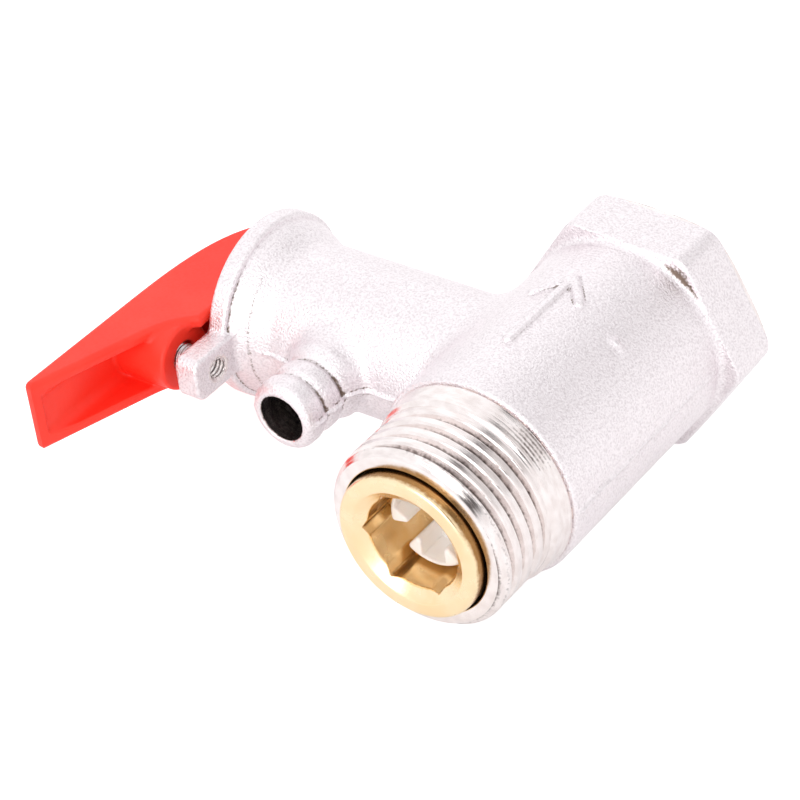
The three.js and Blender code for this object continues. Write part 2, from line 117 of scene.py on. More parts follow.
# Check valve. FIRST_LEG is in degrees about the run.
INSERT_BORE = 5.3
INSERT_END = -37.5
KEY_FLATS = 10.05
KEY_END = -41.6
CHECK_STEM = 1.8
LEG_TIP = -42.9
FIRST_LEG = 271

# Lever and cross pin
HINGE_X = -40.2
HINGE_Y = -10.9
HEEL_RADIUS = 1.5
SPINE_X = -48
TAIL_Y = -48.45
LEVER_HALF = 4.25
LEVER_WALL = 1.3
LEVER_FOOT_X = -38.7
PIN_X = -41.6
PIN_RADIUS = 0.8
BOSS_RADIUS = 3.85

# ------------------------------------------------------------------ sizes of the looks alone

SPLIT_X = -16  # where the two meshes of the casting meet
SHOULDER = -36.7  # where the turned band behind the male thread starts
RECESS_RADIUS = 10.95  # in front of the female thread
NECK_CREASE = 33.9  # along the branch
FLANGE_BACK = 36.1  # along the branch
BARB_CREASES = (BARB_TIP_Y + 3.1, BARB_TIP_Y + 5.9)
LUG_HOLE = 1.25
FINE_PITCH = 0.5  # of the lock screw's thread
INSERT_RADIUS = 8.25
INSERT_FACE = -46.8
POCKET_FLOOR = -39.3  # of the pocket in each leg of the poppet
BOSS_END = -39.8

# ------------------------------------------------------------------ fields


def rounded_union(a, b, radius):
    """Both solids, with a fillet of that radius where they meet."""
    u = np.maximum(radius - a, 0)
    v = np.maximum(radius - b, 0)
    return np.maximum(radius, np.minimum(a, b)) - np.hypot(u, v)


def rounded_overlap(a, b, radius):
    """What both solids share, with its new edges rounded."""
    u = np.maximum(radius + a, 0)
    v = np.maximum(radius + b, 0)
    return np.minimum(-radius, np.maximum(a, b)) + np.hypot(u, v)


def rounded_cut(solid, tool, radius):
    """The solid without the tool, with the new edges rounded."""
    return rounded_overlap(solid, -tool, radius)


def between(value, low, high):
    """Negative from low to high."""
    return np.maximum(low - value, value - high)


def disc(from_axis, along, radius, low, high, edge):
    """A round bar, from its distance to the axis and the place along it."""
    return rounded_overlap(from_axis - radius, between(along, low, high), edge)


def block(x, y, z, low, high, edge):
    """A box from one corner to the other, with rounded edges."""
    sides = rounded_overlap(between(x, low[0], high[0]), between(y, low[1], high[1]), edge)
    return rounded_overlap(sides, between(z, low[2], high[2]), edge)


def hexagon(u, v, flats, turn, edge):
    """Six sides around an axis that runs across u and v. With no turn, two flats face plus and minus v."""
    sides = None
    for number in range(3):
        angle = math.radians(90 + 60 * number + turn)
        side = np.abs(u * math.cos(angle) + v * math.sin(angle)) - flats / 2
        sides = side if sides is None else rounded_overlap(sides, side, edge)
    return sides


def polygon(u, v, corners):
    """Distance to a closed outline in a plane, negative inside it."""
    nearest = np.float64(1e9)
    inside = np.bool_(False)
    for (au, av), (bu, bv) in zip(corners, corners[1:] + corners[:1]):
        along_u = bu - au
        along_v = bv - av
        share = ((u - au) * along_u + (v - av) * along_v) / (along_u**2 + along_v**2)
        share = np.clip(share, 0, 1)
        nearest = np.minimum(nearest, (u - au - share * along_u) ** 2 + (v - av - share * along_v) ** 2)
        if along_v:
            inside = inside ^ (((av > v) != (bv > v)) & (u < au + along_u * (v - av) / along_v))
    return np.where(inside, -1, 1) * np.sqrt(nearest)


def arc(centre, radius, start, end, count=12):
    """Points on a circle, from one angle in degrees to another."""
    angles = np.radians(np.linspace(start, end, count))
    return [(centre[0] + radius * math.cos(a), centre[1] + radius * math.sin(a)) for a in angles]


def bezier(points, count):
    """Points on a quadratic or cubic curve, without its first one."""
    order = len(points) - 1
    curve = []
    for step in range(1, count + 1):
        t = step / count
        weights = [math.comb(order, i) * t**i * (1 - t) ** (order - i) for i in range(order + 1)]
        curve.append(tuple(sum(w * p[axis] for w, p in zip(weights, points)) for axis in (0, 1)))
    return curve


def bump(value, at, width, height):
    """A smooth hump of that height, fallen to a third of it at width on either side."""
    return height * np.exp(-(((value - at) / width) ** 2))


def ramp(value, low, high):
    """0 below low, 1 above high, smooth between them."""
    t = np.clip((value - low) / (high - low), 0, 1)
    return t * t * (3 - 2 * t)


def groove(phase, width):
    """A V cut with a round floor: 1 at phase 0, falling to 0 at width / 2 turns of the thread away."""
    away = np.abs(phase - np.round(phase)) / (width / 2)
    return 1 - ramp(away, 0.02, 1)


# ------------------------------------------------------------------ meshes from fields


def surface_nets(field, low, high, step):
    """Points and four-sided faces where the field is zero, inside the box from low to high."""
    axes = [np.arange(a, b + step, step) for a, b in zip(low, high)]
    value = field(*np.meshgrid(*axes, indexing="ij", sparse=True))
    faces = []
    places = []
    for axis in range(3):
        u, v = (axis + 1) % 3, (axis + 2) % 3
        first = np.take(value, range(value.shape[axis] - 1), axis)
        last = np.take(value, range(1, value.shape[axis]), axis)
        edge = np.argwhere((first < 0) != (last < 0))
        edge = edge[(edge[:, u] > 0) & (edge[:, v] > 0)]
        start = first[tuple(edge.T)]
        place = edge.astype(float)
        place[:, axis] += start / (start - last[tuple(edge.T)])
        ring = []
        for du, dv in ((0, 0), (-1, 0), (-1, -1), (0, -1)):
            cell = edge.copy()
            cell[:, u] += du
            cell[:, v] += dv
            ring.append(np.ravel_multi_index(tuple(cell.T), value.shape))
        ring = np.stack(ring, 1)
        ring[start > 0] = ring[start > 0][:, ::-1]
        faces.append(ring)
        places.append(np.repeat(place, 4, 0))
    faces = np.concatenate(faces)
    places = np.concatenate(places)
    _, corner = np.unique(faces.ravel(), return_inverse=True)
    count = np.bincount(corner)
    points = np.stack([np.bincount(corner, places[:, axis]) / count for axis in range(3)], 1)
    return np.array(low) + step * points, corner.reshape(-1, 4)


def slope(field, points):
    """The field's value and gradient at each point."""
    reach = 0.02
    parts = []
    for axis in range(3):
        shift = np.zeros(3)
        shift[axis] = reach
        parts.append((field(*(points + shift).T) - field(*(points - shift).T)) / (2 * reach))
    return field(*points.T), np.stack(parts, 1)


def settle(field, points, step, rounds=5):
    """Moves points onto the surface, along the field's gradient."""
    for _ in range(rounds):
        value, gradient = slope(field, points)
        steep = np.maximum((gradient**2).sum(1), 0.05)
        move = np.clip(value / steep, -step / 2, step / 2)
        points = points - move[:, None] * gradient
    return points


def folds(field, points):
    """1 in a sharp inner corner, 0 on a flat or a gentle curve, -1 on a sharp outer edge."""
    reach = 0.35
    around = 0
    for axis in range(3):
        shift = np.zeros(3)
        shift[axis] = reach
        around = around + field(*(points + shift).T) + field(*(points - shift).T)
    return np.clip(-around / reach, -1, 1)


def mark_folds(piece, values):
    """Keeps the folds with the mesh, for materials that darken them with dirt and painted shade. Points past
    the last get 0.
    """
    marks = np.zeros(len(piece.data.vertices), dtype=np.float32)
    marks[:values.size] = values.ravel()
    attribute = piece.data.attributes.new("fold", "FLOAT", "POINT")
    attribute.data.foreach_set("value", marks)


def new_piece(name, points, faces, body, materials, replaces=(), normals=None, sharp=32):
    """A named mesh on one body. Without normals, edges that turn by over sharp degrees stay sharp."""
    mesh = bpy.data.meshes.new(name)
    mesh.from_pydata((points * MM).tolist(), [], faces)
    mesh.shade_smooth()
    if normals is None:
        mesh.set_sharp_from_angle(angle=math.radians(sharp))
    else:
        mesh.normals_split_custom_set_from_vertices(normals.tolist())
    for material in materials:
        mesh.materials.append(material)
    piece = bpy.data.objects.new(name, mesh)
    bpy.context.scene.collection.objects.link(piece)
    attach(piece, body)
    if replaces:
        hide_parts(*replaces)
    return piece


def carve(name, field, low, high, step, body, materials, replaces=(), second=None, stain_and_painted_shade=None):
    """A piece from a field.

    Faces where second(x, y, z) is true take the second material. The last function's values, painted shade,
    are added to the folds.
    """
    points, faces = surface_nets(field, low, high, step)
    points = settle(field, points, step)
    normals = slope(field, points)[1]
    normals /= np.maximum(np.linalg.norm(normals, axis=1, keepdims=True), 1e-6)
    piece = new_piece(name, points, faces.tolist(), body, materials, replaces, normals)
    marks = folds(field, points)
    if stain_and_painted_shade is not None:
        marks = marks + stain_and_painted_shade(*points.T)
    mark_folds(piece, marks)
    if second is not None:
        middle = points[faces].mean(1)
        chosen = second(*middle.T).astype(np.int32)
        piece.data.polygons.foreach_set("material_index", chosen)
    return piece


# ------------------------------------------------------------------ meshes from profiles


def softened(profile, radius):
    """A profile with each corner between its ends replaced by a short curve."""
    soft = [profile[0]]
    for before, corner, after in zip(profile, profile[1:], profile[2:]):
        sides = []
        for other in (before, after):
            length = math.dist(corner, other)
            share = min(radius, 0.4 * length) / length
            sides.append(tuple(c + share * (o - c) for c, o in zip(corner, other)))
        soft.append(sides[0])
        soft.extend(bezier([sides[0], corner, sides[1]], 4))
    soft.append(profile[-1])
    return soft


def round_angles(sides):
    return np.linspace(0, 2 * math.pi, sides, endpoint=False)


def around_y(radius, height, angle):
    """Points at each radius and height, for each angle about Y."""
    points = np.stack([radius * np.sin(angle), height + 0 * angle, radius * np.cos(angle)], 2)
    return points.reshape(-1, 3)


def lathe(profile, sides):
    """Points and faces of a profile of (radius, height) turned about Y, with flat ends."""
    rows = np.array(profile)
    points = around_y(rows[:, :1], rows[:, 1:], round_angles(sides))
    return points, rows_to_faces(len(rows), sides, False).tolist() + flat_ends(len(rows), sides)


def threaded(skin, height, angle, back):
    """Points and faces of a threaded skin, closed by rings of (radius, height) behind it."""
    sides = len(angle)
    radius = np.concatenate([skin, *(np.full((1, sides), ring) for ring, _ in back)])
    height = np.concatenate([height + 0 * angle, *(np.full((1, sides), at) for _, at in back)])
    return around_y(radius, height, angle), rows_to_faces(len(radius), sides, True)


def rows_to_faces(rows, sides, closed):
    """Faces between rows of points that each run around. Closed ones join the last row to the first."""
    faces = []
    column = np.arange(sides)
    after = (column + 1) % sides
    for row in range(rows if closed else rows - 1):
        below = row * sides
        above = ((row + 1) % rows) * sides
        faces.append(np.stack([below + column, below + after, above + after, above + column], 1))
    return np.concatenate(faces)


def flat_ends(rows, sides):
    """The two faces that close rows of points at the first and the last row."""
    return [list(range(sides))[::-1], list(range((rows - 1) * sides, rows * sides))]


def to_branch(points, y=BRANCH_Y):
    """Turns points made about Y so that their height runs out along the branch, towards -X."""
    return np.stack([-points[:, 1], points[:, 0] + y, points[:, 2]], 1)


# ------------------------------------------------------------------ materials


class Shade:
    """Builds one node material. Every texture uses the object's own coordinates."""

    def __init__(self, name, color, roughness, metallic=0.0):
        self.material = bpy.data.materials.new(name)
        self.material.use_nodes = True
        self.nodes = self.material.node_tree.nodes
        self.links = self.material.node_tree.links
        self.shader = self.nodes["Principled BSDF"]
        self.shader.inputs["Base Color"].default_value = (*color, 1)
        self.shader.inputs["Roughness"].default_value = roughness
        self.shader.inputs["Metallic"].default_value = metallic
        self.place = self.nodes.new("ShaderNodeTexCoord").outputs["Object"]
        self.height = None

    def set(self, **values):
        for name, value in values.items():
            self.shader.inputs[name.replace("_", " ")].default_value = value
        return self

    def noise(self, size, detail, seed, stretch=(1, 1, 1)):
        """Noise whose features are about size millimetres wide, before the stretch."""
        mapping = self.nodes.new("ShaderNodeMapping")
        scale = 1 / (size * MM)
        mapping.inputs["Scale"].default_value = [scale / s for s in stretch]
        mapping.inputs["Location"].default_value = (seed, seed * 0.7, seed * 0.3)
        self.links.new(self.place, mapping.inputs["Vector"])
        texture = self.nodes.new("ShaderNodeTexNoise")
        texture.inputs["Scale"].default_value = 1.0
        texture.inputs["Detail"].default_value = detail
        self.links.new(mapping.outputs["Vector"], texture.inputs["Vector"])
        return texture.outputs["Fac"]

    def ranged(self, value, low, high, start=0.3, end=0.7):
        """The value spread from start..end to low..high."""
        spread = self.nodes.new("ShaderNodeMapRange")
        spread.inputs["From Min"].default_value = start
        spread.inputs["From Max"].default_value = end
        spread.inputs["To Min"].default_value = low
        spread.inputs["To Max"].default_value = high
        self.links.new(value, spread.inputs["Value"])
        return spread.outputs["Result"]

    def tint(self, value, dark, light, start=0.35, end=0.65):
        """The base colour runs from dark to light with the value."""
        colors = self.nodes.new("ShaderNodeValToRGB")
        colors.color_ramp.elements[0].position = start
        colors.color_ramp.elements[0].color = (*dark, 1)
        colors.color_ramp.elements[1].position = end
        colors.color_ramp.elements[1].color = (*light, 1)
        self.links.new(value, colors.inputs["Fac"])
        self.links.new(colors.outputs["Color"], self.shader.inputs["Base Color"])
        return self

    def dirt_and_painted_shade(self, color, speck, start, end, seed):
        """Specks of another colour where the surface folds inwards: dirt and painted shade. The middle of a
        fold has the most.
        """
        fold = self.nodes.new("ShaderNodeAttribute")
        fold.attribute_name = "fold"
        specks = self.noise(speck, 3.0, seed)
        both = self.nodes.new("ShaderNodeMath")
        both.operation = "ADD"
        self.links.new(specks, both.inputs[0])
        self.links.new(fold.outputs["Fac"], both.inputs[1])
        cover = self.ranged(both.outputs["Value"], 0, 1, start, end)
        mix = self.nodes.new("ShaderNodeMix")
        mix.data_type = "RGBA"
        self.links.new(cover, mix.inputs["Factor"])
        self.links.new(self.shader.inputs["Base Color"].links[0].from_socket, mix.inputs["A"])
        mix.inputs["B"].default_value = (*color, 1)
        self.links.new(mix.outputs["Result"], self.shader.inputs["Base Color"])
        return self

    def gloss(self, value, low, high):
        """The roughness runs from low to high with the value."""
        self.links.new(self.ranged(value, low, high), self.shader.inputs["Roughness"])
        return self

    def relief(self, value, depth, strength):
        """Bumps that are depth millimetres high. Later ones lie on top of earlier ones."""
        node = self.nodes.new("ShaderNodeBump")
        node.inputs["Strength"].default_value = strength
        node.inputs["Distance"].default_value = depth * MM
        self.links.new(value, node.inputs["Height"])
        if self.height is not None:
            self.links.new(self.height, node.inputs["Normal"])
        self.height = node.outputs["Normal"]
        self.links.new(self.height, self.shader.inputs["Normal"])
        return self


def cast_nickel():
    """Nickel over a fine sand-like casting skin."""
    shade = Shade("cast_nickel", (0.9, 0.86, 0.88), 0.36, 1.0)
    grain = shade.noise(0.24, 2.5, 3.0)
    cloud = shade.noise(5.0, 2.0, 8.0)
    shade.tint(grain, (0.8, 0.745, 0.765), (0.96, 0.91, 0.93), 0.34, 0.56)
    # Dirt and painted shade in the folds.
    shade.dirt_and_painted_shade((0.2, 0.15, 0.12), 0.26, 1.25, 1.6, 4.0)
    shade.gloss(cloud, 0.3, 0.42)
    shade.relief(cloud, 0.2, 0.25)
    shade.relief(grain, 0.14, 0.9)
    return shade.material


def turned_nickel():
    """Plated after turning: fine tool marks run round the axis, along with a few scratches."""
    shade = Shade("turned_nickel", (0.93, 0.88, 0.87), 0.2, 1.0)
    marks = shade.noise(0.16, 2.0, 5.0, stretch=(60, 1, 60))
    patches = shade.noise(1.6, 3.0, 1.0, stretch=(1, 0.4, 1))
    shade.tint(patches, (0.83, 0.76, 0.74), (0.94, 0.885, 0.87))
    # Dirt and painted shade in the folds.
    shade.dirt_and_painted_shade((0.22, 0.18, 0.17), 0.36, 0.9, 1.35, 2.0)
    shade.gloss(patches, 0.13, 0.25)
    shade.relief(patches, 0.05, 0.5)
    shade.relief(marks, 0.035, 0.9)
    return shade.material


def turned_brass(name, dark, light):
    shade = Shade(name, light, 0.25, 1.0)
    marks = shade.noise(0.13, 2.0, 4.0, stretch=(50, 1, 50))
    # Brass tone that differs at random.
    stain_and_painted_shade = shade.noise(3.0, 3.0, 6.0)
    shade.tint(stain_and_painted_shade, dark, light)
    # Dirt and painted shade in the folds.
    shade.dirt_and_painted_shade((0.42, 0.23, 0.08), 0.5, 1.0, 1.7, 2.0)
    shade.gloss(stain_and_painted_shade, 0.2, 0.3)
    shade.relief(marks, 0.015, 0.7)
    shade.relief(stain_and_painted_shade, 0.03, 0.2)
    return shade.material


def steel():
    shade = Shade("steel", (0.72, 0.72, 0.73), 0.28, 1.0)
    marks = shade.noise(0.12, 2.0, 9.0, stretch=(1, 8, 8))
    shade.tint(marks, (0.6, 0.6, 0.61), (0.8, 0.8, 0.81))
    shade.gloss(marks, 0.2, 0.36)
    shade.relief(marks, 0.01, 0.6)
    return shade.material


def red_plastic():
    shade = Shade("red_plastic", (0.97, 0.055, 0.035), 0.4)
    cloud = shade.noise(7.0, 2.0, 2.5)
    fine = shade.noise(0.35, 3.0, 7.0)
    shade.tint(cloud, (0.97, 0.034, 0.016), (1.0, 0.046, 0.024))
    shade.gloss(fine, 0.34, 0.5)
    shade.relief(cloud, 0.3, 0.2)
    shade.relief(fine, 0.012, 0.5)
    shade.set(Specular_IOR_Level=0.38, Subsurface_Weight=0.12, Subsurface_Scale=0.001)
    shade.set(Subsurface_Radius=(1.0, 0.2, 0.1))
    return shade.material


def white_plastic(name, dark, light):
    shade = Shade(name, light, 0.45)
    cloud = shade.noise(2.5, 2.0, 1.5)
    fine = shade.noise(0.2, 2.0, 3.5)
    shade.tint(cloud, dark, light)
    shade.gloss(fine, 0.38, 0.55)
    shade.relief(cloud, 0.15, 0.3)
    shade.relief(fine, 0.01, 0.4)
    shade.set(Subsurface_Weight=0.25, Subsurface_Scale=0.001, Subsurface_Radius=(1.0, 0.8, 0.7))
    return shade.material


def rubber():
    shade = Shade("rubber", (0.03, 0.03, 0.032), 0.6)
    fine = shade.noise(0.15, 3.0, 2.0)
    shade.tint(fine, (0.02, 0.02, 0.022), (0.045, 0.045, 0.048))
    shade.gloss(fine, 0.5, 0.72)
    shade.relief(fine, 0.02, 0.5)
    return shade.material


CAST = cast_nickel()
TURNED = turned_nickel()
BRASS = turned_brass("turned_brass", (0.95, 0.73, 0.44), (0.98, 0.8, 0.53))
# A darker copy of the brass for inside the insert: painted shade.
SHADED_BRASS = turned_brass("brass_in_painted_shade", (0.88, 0.57, 0.24), (0.97, 0.72, 0.38))
STEEL = steel()
RED = red_plastic()
WHITE = white_plastic("white_plastic", (0.97, 0.91, 0.88), (1.0, 0.95, 0.93))
# A lighter, warmer copy of the white plastic for the pockets and between the legs: painted light.
SHADED_WHITE = white_plastic("shaded_plastic", (1.0, 0.95, 0.91), (1.0, 0.97, 0.94))
RUBBER = rubber()

# ------------------------------------------------------------------ valve body


def nut_field(x, y, z):
    """The hexagon, with a shallow cone turned on its outer end."""
    run = np.hypot(x, z)
    corner = HEX_FLATS / 2 / math.cos(math.radians(30))
    sides = hexagon(x, z, HEX_FLATS, -HEX_TURN, 1.0)
    sides = rounded_overlap(sides, between(y, -HEX_LENGTH, 0.3), 0.25)
    cone = (y - 0.3) * 0.93 + (run - HEX_FLATS / 2) * 0.37
    front = (-HEX_LENGTH - y) * 0.8 + (run - corner + 0.55) * 0.6
    return rounded_overlap(rounded_overlap(sides, cone, 0.2), front, 0.2)


def stroke(u, v, start, end, width):
    """Distance to a line with round ends, drawn in a plane."""
    along_u = end[0] - start[0]
    along_v = end[1] - start[1]
    share = ((u - start[0]) * along_u + (v - start[1]) * along_v) / (along_u**2 + along_v**2)
    share = np.clip(share, 0, 1)
    return np.hypot(u - start[0] - share * along_u, v - start[1] - share * along_v) - width / 2


def arrow_field(x, y, z):
    """The raised mark for the direction of flow."""
    tip = (-1, -14)
    arrow = stroke(x, y, (-1, -26), tip, 1.1)
    for side in (-1, 1):
        arrow = np.minimum(arrow, stroke(x, y, (tip[0] + 2.9 * side, tip[1] - 3.4), tip, 1.1))
    raised = rounded_overlap(arrow, np.hypot(x, z) - BARREL_RADIUS - 0.4, 0.3)
    return np.maximum(raised, 5 - z)


def flange_field(x, y, z):
    """The branch, which swells into a neck, and the rim at its end."""
    branch = np.hypot(y - BRANCH_Y, z)
    out = -x
    radius = BRANCH_RADIUS + 1.65 * ramp(out, 31.2, 36.4)
    neck = rounded_overlap(branch - radius, between(out, 1, 37), 0.3)
    rim = disc(branch, out, FLANGE_RADIUS, FLANGE_BACK, -FLANGE_X, 0.45)
    return rounded_union(neck, rim, 0.12)


def barb_field(x, y, z):
    """The hose barb: two worn rings and a root that is a little thicker."""
    radius = BARB_RADIUS - bump(y, BARB_CREASES[0], 0.5, 0.46) - bump(y, BARB_CREASES[1], 0.45, 0.42)
    radius = radius + 0.55 * ramp(y, BARB_TIP_Y + 6.1, BARB_TIP_Y + 7.8)
    return rounded_overlap(np.hypot(x - BARB_X, z) - radius, between(y, BARB_TIP_Y, BRANCH_Y), 1.15)


def lug_field(x, y, z):
    thickness = between(x, *LUG_X)
    outline = rounded_overlap(between(y, LUG_END_Y, BRANCH_Y), np.abs(z) - LUG_HALF_HEIGHT, 1.2)
    return rounded_overlap(outline, thickness, 0.4)


def seam_height(x, y, z):
    """The line where the two halves of the mould met. It wanders a little, and stands out on the barb."""
    wander = 0.12 * np.sin(0.55 * x + 0.4) + 0.1 * np.sin(0.8 * y)
    on_barb = ramp(-y, 26.5, 28) * ramp(x, -32, -30)
    on_lug = ramp(-y, 27, 28.5) * ramp(-x, 31.5, 33)
    end = ramp(y, BARB_TIP_Y + 0.1, BARB_TIP_Y + 1.2)
    height = 0.22 * bump(z, wander, 0.22, 1) + 0.14 * on_barb * bump(z, wander, 0.3, 1)
    return height * (1 - on_lug) * end


def inside_field(x, y, z):
    """Everything that is hollow: the two ports, the relief branch, the barb's bore and the lug's hole."""
    run = np.hypot(x, z)
    branch = np.hypot(y - BRANCH_Y, z)
    out = -x
    port = disc(run, y, RECESS_RADIUS, -FEMALE_DEPTH, 2, 0.05)
    port = np.minimum(port, disc(run, y, OUTLET_RADIUS, GUIDE_STEP - 1, -8, 0.05))
    port = np.minimum(port, disc(run, y, CHAMBER_RADIUS, -60, GUIDE_STEP, 0.05))
    relief = disc(branch, out, RELIEF_RADIUS, 13.6, 36, 0.1)
    relief = np.minimum(relief, disc(branch, out, PLUG_BORE, 32.4, 42, 0.1))
    relief = np.minimum(relief, disc(branch, out, 3.2, 2, 15, 0.05))
    from_barb = np.hypot(x - BARB_X, z)
    drain_radius = BARB_BORE + 0.22 * (1 - ramp(y, BARB_TIP_Y, BARB_TIP_Y + 4))
    drain = disc(from_barb, y, drain_radius, -40, BRANCH_Y, 0.1)
    screw = disc(np.hypot(y - SCREW_Y, z), out, LUG_HOLE, 30, 42, 0.05)
    return np.minimum(np.minimum(port, relief), np.minimum(drain, screw))


def casting_field(x, y, z):
    """The whole casting, without its threads."""
    run = np.hypot(x, z)
    barrel = disc(run, y, BARREL_RADIUS, BARREL_START, -2, 0.3)
    solid = rounded_union(barrel, nut_field(x, y, z), 0.8)
    solid = rounded_union(solid, flange_field(x, y, z), 1.6)
    solid = rounded_union(solid, barb_field(x, y, z), 1.3)
    solid = rounded_union(solid, lug_field(x, y, z), 0.5)
    solid = rounded_union(solid, arrow_field(x, y, z), 0.22)
    cast = ramp(y, BARREL_START, BARREL_START + 0.8) * ramp(-y, 7.2, 8) + (x < -12)
    solid = solid - seam_height(x, y, z) * np.minimum(cast, 1) * ramp(x, FLANGE_X + 0.2, FLANGE_X + 1)
    nub = ((x - 7.1) / 0.9) ** 2 + ((y + 19) / 0.42) ** 2 + (z - 9.2) ** 2
    solid = solid - 0.4 * np.exp(-nub)
    return rounded_cut(solid, inside_field(x, y, z), 0.18)


def machined(x, y, z):
    """True on the surfaces of the casting that a tool has cut."""
    run = np.hypot(x, z)
    branch = np.hypot(y - BRANCH_Y, z)
    end = (y > -0.28) & (run > 9)
    bores = (run < 11.1) & (y > -36)
    relief = (x < -8) & (branch < 7.6)
    face = x < FLANGE_X + 0.06
    drain = (np.hypot(x - BARB_X, z) < 2.8) & (y < BRANCH_Y)
    screw = (x < -30) & (np.hypot(y - SCREW_Y, z) < 1.6)
    return end | bores | relief | face | drain | screw


def casting_painted_shade(x, y, z):
    """Painted shade and painted reflection on the front of one corner of the hexagon, round the neck, over
    the barb's seam and in its bore.

    The flange's root and the neck are painted lighter on top than beside the lug.
    """
    turn = np.degrees(np.arctan2(z, x))
    front = bump(y, -HEX_LENGTH, 0.7, 1) * ramp(np.hypot(x, z), BARREL_RADIUS + 0.1, BARREL_RADIUS + 0.6)
    corner = front * (bump(turn, 56, 10, 1) + bump(turn, 38, 14, 0.7))
    top = ramp(y, -27, -23) * ramp(z, 0, 5)
    neck = bump(-x, NECK_CREASE, 0.35, 0.95 - 0.2 * top)
    neck = neck * ramp(np.hypot(y - BRANCH_Y, z), BRANCH_RADIUS, BRANCH_RADIUS + 0.2)
    root = bump(-x, FLANGE_BACK + 0.2, 0.6, 0.45) * top
    from_barb = np.hypot(x - BARB_X, z)
    creases = bump(y, BARB_CREASES[0], 0.6, 0.45) + bump(y, BARB_CREASES[1], 0.6, 0.45)
    barb = ramp(-from_barb, -6, -5) * ramp(x, BARB_X + 1.8, BARB_X + 3.4) * bump(z, 1.6, 1.6, 1)
    barb = barb * ramp(-y, 27, 30) * (0.72 - creases)
    bore = ramp(y, BARB_TIP_Y + 0.3, BARB_TIP_Y + 1.5) * ramp(-from_barb, -3.1, -2.9) * ramp(-y, 20, 22)
    return 0.85 * corner + neck - root + barb + 0.45 * bore


def one_end(side):
    """The casting on one side of SPLIT_X. It sinks just under the other end's skin where the two meet."""

    def field(x, y, z):
        past = side * (SPLIT_X - x)
        return np.maximum(casting_field(x, y, z) + 0.06 * np.clip(past, 0, 0.5), past - 0.5)

    return field


def valve_casting():
    """The casting, as two meshes so that neither grows too large."""
    carve("valve_casting", one_end(1), (SPLIT_X - 1, -36.7, -14.6), (15, 0.8, 14.6), 0.27,
          "body", [CAST, TURNED], ["valve_body"], machined, casting_painted_shade)
    carve("branch_casting", one_end(-1), (FLANGE_X - 0.5, -36.7, -11.2), (SPLIT_X + 1, -8, 11.2), 0.22,
          "body", [CAST, TURNED], (), machined, casting_painted_shade)


def threaded_end():
    """The male thread with its helix, the turned band behind it and the bore for the insert."""
    angle = round_angles(240)
    height = np.arange(MALE_END + 0.2, BARREL_START + 0.001, 0.09)[:, None]
    phase = (height + 43.29) / PITCH - (angle - math.radians(130.8)) / (2 * math.pi)
    fade = 1 - ramp(height, SHOULDER - 1.5, SHOULDER - 0.7)
    outer = THREAD_OUTER - 0.95 * groove(phase, 0.62) * fade
    band = 0.42 + 0.3 * ramp(height, SHOULDER, BARREL_START)
    outer = outer + band * ramp(height, SHOULDER - 0.5, SHOULDER)
    outer = outer - 0.25 * ramp(height, BARREL_START - 0.22, BARREL_START)
    outer = np.minimum(outer, THREAD_OUTER - 0.85 + 0.9 * (height - MALE_END))
    inner = [(CHAMBER_RADIUS, BARREL_START), (CHAMBER_RADIUS, MALE_BORE_END)]
    inner += [(MALE_BORE, MALE_BORE_END), (MALE_BORE, MALE_END + 0.1), (MALE_BORE + 0.1, MALE_END)]
    inner += [(THREAD_OUTER - 0.95, MALE_END), (THREAD_OUTER - 0.72, MALE_END + 0.08)]
    points, faces = threaded(outer, height, angle, softened(inner, 0.1))
    thread = new_piece("male_thread", points, faces.tolist(), "body", [TURNED])
    # Painted dark reflection in streaks on the band's side towards +X and +Z. The folds also get painted
    # shade in the thread's grooves and more specks on a ring near the front end.
    painted_band_reflection = bump(np.degrees(angle), 44, 17, 1) * ramp(height, SHOULDER - 0.1, SHOULDER + 0.3)
    painted_band_reflection = painted_band_reflection * (0.56 + 0.28 * np.sin(2 * math.pi * height / 0.4))
    mark_folds(thread, groove(phase, 0.5) * fade + bump(height, MALE_END + 0.95, 0.3, 0.44) + painted_band_reflection)


def threaded_port():
    """The female thread inside the hexagon, and the recess before it."""
    angle = round_angles(240)
    height = np.arange(-FEMALE_DEPTH, -0.25, 0.1)[:, None]
    phase = height / PITCH - angle / (2 * math.pi)
    inner = 9.3 + 1.1 * groove(phase, 0.8) + 0 * angle
    inner = np.maximum(inner, RECESS_RADIUS - 0.9 * np.maximum(-0.9 - height, 0))
    inner = np.minimum(inner, RECESS_RADIUS)
    behind = RECESS_RADIUS + 0.35
    back = [(behind, -0.3), (behind, -FEMALE_DEPTH - 0.3), (OUTLET_RADIUS - 0.1, -FEMALE_DEPTH - 0.3)]
    points, faces = threaded(inner, height, angle, back)
    thread = new_piece("female_thread", points, faces[:, ::-1].tolist(), "body", [TURNED])
    # Painted shade in the thread's grooves.
    mark_folds(thread, groove(phase, 0.6))


def lug_thread():
    """The fine thread in the lug's hole."""
    angle = round_angles(72)
    height = np.arange(-LUG_X[1] + 0.1, -LUG_X[0] - 0.05, 0.05)[:, None]
    phase = height / FINE_PITCH - angle / (2 * math.pi)
    inner = 1.08 + 0.2 * groove(phase, 0.9) + 0 * angle
    behind = LUG_HOLE + 0.2
    points, faces = threaded(inner, height, angle, [(behind, height[-1, 0]), (behind, height[0, 0])])
    faces = faces[:, ::-1].tolist()
    thread = new_piece("lug_thread", to_branch(points, SCREW_Y), faces, "body", [TURNED])
    # Painted shade over the whole hole.
    mark_folds(thread, np.full(len(points), 0.45))


# ------------------------------------------------------------------ check valve


